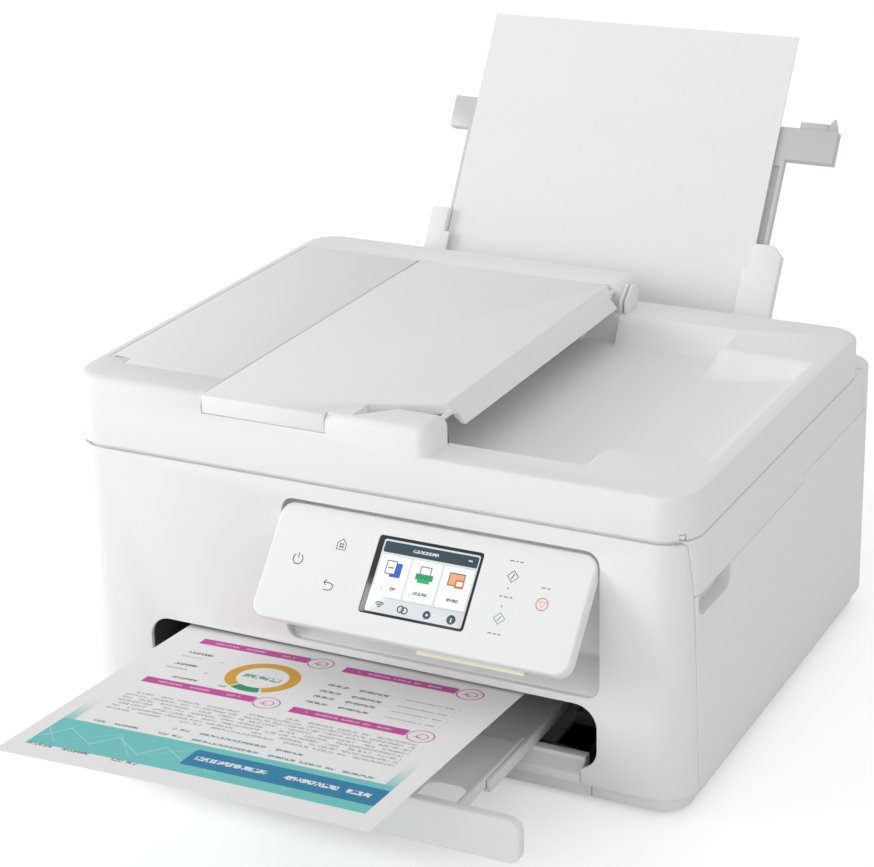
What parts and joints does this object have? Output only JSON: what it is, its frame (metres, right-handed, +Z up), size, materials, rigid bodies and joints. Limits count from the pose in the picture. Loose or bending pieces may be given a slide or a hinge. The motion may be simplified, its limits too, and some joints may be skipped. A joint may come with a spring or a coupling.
{
  "type": "inkjet printer",
  "caption": "Desktop inkjet printer with flatbed scanner, document feeder, tilting touch panel, rear paper feed, front cassette and sliding output tray.",
  "frame": {"origin": "on the surface the printer stands on, at the centre of the case's footprint", "axes": "+Z up, -Y towards the front with the panel and the paper mouth, +X to the right seen from the front"},
  "size_m": [0.376, 0.5987, 0.3297],
  "materials": {
    "white_case": "fine satin grain",
    "white_inner": "smooth moulded plastic",
    "black_inner": "dull black",
    "light_bar": "milky light guide",
    "screen": "glossy display",
    "glass": "clear float glass",
    "steel": "plated sheet steel",
    "rod_steel": "ground rod",
    "rubber": "dull rubber",
    "belt": "toothed belt",
    "strip": "clear film",
    "ink_black": "moulded tanks",
    "felt": "pressed felt",
    "board": "solder mask",
    "paper": "uncoated copier paper",
    "foam": "white film on foam"
  },
  "bodies": {
    "base": {"rubber_feet": "rubber", "base_tray": "white_case", "case_screws": "steel", "lower_shell": "white_case", "front_cover": "white_case", "panel_recess": "white_inner", "status_light": "light_bar", "output_duct": "black_inner", "rear_case": "white_case", "side_frames": "steel", "rear_frame": "steel", "carriage_rod": "rod_steel", "encoder_strip": "strip", "carriage_belt": "belt", "carriage_motor": "steel", "platen": "black_inner", "maintenance_unit": "black_inner", "ink_absorber": "felt", "main_board": "board", "power_supply": "black_inner", "power_inlet": "black_inner", "usb_port": "steel", "paper_support": "white_inner"},
    "carriage": {"ink_carriage": "black_inner", "ink_cartridges": "ink_black"},
    "drive_pulley": {"drive_pulley": "white_inner"},
    "idler_pulley": {"idler_pulley": "white_inner"},
    "feed_roller": {"feed_roller": "rubber"},
    "exit_roller": {"exit_roller": "rubber"},
    "pickup_roller": {"pickup_roller": "rubber"},
    "feed_guide_left": {"feed_guide_left": "white_case"},
    "feed_guide_right": {"feed_guide_right": "white_case"},
    "support_extension": {"support_extension": "white_inner"},
    "paper_stack": {"paper_stack": "paper"},
    "printed_sheet": {"printed_sheet": "paper"},
    "cassette": {"cassette_tray": "black_inner", "cassette_front": "white_case", "cassette_paper": "paper"},
    "tray_stage": {"tray_stage": "white_inner"},
    "tray_front": {"tray_extension": "white_inner", "tray_plate": "white_case"},
    "panel": {"panel_case": "white_case", "panel_screen": "screen"},
    "scanner_unit": {"scanner_case": "white_case", "scan_glass": "glass", "feeder_glass": "glass", "scan_tub": "black_inner", "lid_arms": "white_inner"},
    "scan_carriage": {"scan_carriage": "black_inner"},
    "lid": {"lid_frame": "white_case", "roller_brackets": "steel", "tray_hinge_arms": "white_inner", "backing_pad": "foam", "lid_plate": "white_inner"},
    "document_tray": {"document_tray": "white_case"},
    "feed_cover": {"feed_cover": "white_case"},
    "document_guide_front": {"document_guide_front": "white_inner"},
    "document_guide_rear": {"document_guide_rear": "white_inner"},
    "feeder_roller": {"feeder_roller": "rubber"},
    "separator_roller": {"separator_roller": "rubber"}
  },
  "joints": [
    {"name": "scanner_lift", "type": "hinge", "parent": "base", "child": "scanner_unit", "pos_m": [0, 0.128, 0.157], "axis": [-1, 0, 0], "range_deg": [0, 24]},
    {"name": "lid_hinge", "type": "hinge", "parent": "scanner_unit", "child": "lid", "pos_m": [0, 0.128, 0.185], "axis": [1, 0, 0], "range_deg": [-70, 0]},
    {"name": "document_tray_hinge", "type": "hinge", "parent": "lid", "child": "document_tray", "pos_m": [0.035, 0, 0.197], "axis": [0, 1, 0], "range_deg": [0, 100]},
    {"name": "feed_cover_hinge", "type": "hinge", "parent": "lid", "child": "feed_cover", "pos_m": [-0.1776, 0, 0.1995], "axis": [0, -1, 0], "range_deg": [0, 75]},
    {"name": "document_guide_slide", "type": "slide", "parent": "document_tray", "child": "document_guide_rear", "axis": [0, -1, 0], "range_m": [0, 0.05]},
    {"name": "document_guide_follow", "type": "slide", "parent": "document_tray", "child": "document_guide_front", "axis": [0, 1, 0], "range_m": [0, 0.05]},
    {"name": "feeder_roller_spin", "type": "hinge", "parent": "lid", "child": "feeder_roller", "pos_m": [-0.118, 0, 0.183], "axis": [0, 1, 0], "continuous": true},
    {"name": "separator_roller_spin", "type": "hinge", "parent": "lid", "child": "separator_roller", "pos_m": [-0.15, 0, 0.183], "axis": [0, 1, 0], "continuous": true},
    {"name": "scan_carriage_slide", "type": "slide", "parent": "scanner_unit", "child": "scan_carriage", "axis": [1, 0, 0], "range_m": [0, 0.31]},
    {"name": "panel_tilt", "type": "hinge", "parent": "base", "child": "panel", "pos_m": [0.045, -0.15238, 0.13971], "axis": [1, 0, 0], "range_deg": [-14, 40.8]},
    {"name": "cassette_slide", "type": "slide", "parent": "base", "child": "cassette", "axis": [0, -1, 0], "range_m": [0, 0.18]},
    {"name": "tray_stage_slide", "type": "slide", "parent": "cassette", "child": "tray_stage", "axis": [0, 1, 0], "range_m": [0, 0.0485]},
    {"name": "tray_front_slide", "type": "slide", "parent": "tray_stage", "child": "tray_front", "axis": [0, 1, 0], "range_m": [0, 0.033]},
    {"name": "sheet_slide", "type": "slide", "parent": "base", "child": "printed_sheet", "axis": [0.0359, -0.9945, 0.0986], "range_m": [0, 0.12]},
    {"name": "stack_slide", "type": "slide", "parent": "base", "child": "paper_stack", "axis": [0, 0.5249, 0.8512], "range_m": [0, 0.15]},
    {"name": "support_slide", "type": "slide", "parent": "base", "child": "support_extension", "axis": [0, 0.5249, 0.8512], "range_m": [-0.05, 0]},
    {"name": "feed_guide_slide", "type": "slide", "parent": "base", "child": "feed_guide_right", "axis": [1, 0, 0], "range_m": [0, 0.0035]},
    {"name": "feed_guide_follow", "type": "slide", "parent": "base", "child": "feed_guide_left", "axis": [-1, 0, 0], "range_m": [0, 0.0035]},
    {"name": "carriage_slide", "type": "slide", "parent": "base", "child": "carriage", "axis": [1, 0, 0], "range_m": [-0.225, 0.012]},
    {"name": "drive_pulley_spin", "type": "hinge", "parent": "base", "child": "drive_pulley", "pos_m": [-0.15, 0.035, 0.093], "axis": [0, 1, 0], "range_deg": [-2200, 150]},
    {"name": "idler_pulley_spin", "type": "hinge", "parent": "base", "child": "idler_pulley", "pos_m": [0.15, 0.035, 0.093], "axis": [0, 1, 0], "range_deg": [-2200, 150]},
    {"name": "feed_roller_spin", "type": "hinge", "parent": "base", "child": "feed_roller", "pos_m": [0, 0.033, 0.042], "axis": [1, 0, 0], "continuous": true},
    {"name": "exit_roller_spin", "type": "hinge", "parent": "base", "child": "exit_roller", "pos_m": [0, -0.07, 0.042], "axis": [1, 0, 0], "continuous": true},
    {"name": "pickup_roller_spin", "type": "hinge", "parent": "base", "child": "pickup_roller", "pos_m": [0, 0.08957, 0.09633], "axis": [1, 0, 0], "continuous": true}
  ],
  "couplings": [
    {"joint": "document_guide_follow", "follows": "document_guide_slide", "ratio": 1},
    {"joint": "separator_roller_spin", "follows": "feeder_roller_spin", "ratio": -1.2857},
    {"joint": "feed_guide_follow", "follows": "feed_guide_slide", "ratio": 1},
    {"joint": "drive_pulley_spin", "follows": "carriage_slide", "rad_per_m": 166.67},
    {"joint": "idler_pulley_spin", "follows": "carriage_slide", "rad_per_m": 166.67},
    {"joint": "exit_roller_spin", "follows": "feed_roller_spin", "ratio": 1.1818},
    {"joint": "pickup_roller_spin", "follows": "feed_roller_spin", "ratio": 0.5417}
  ]
}
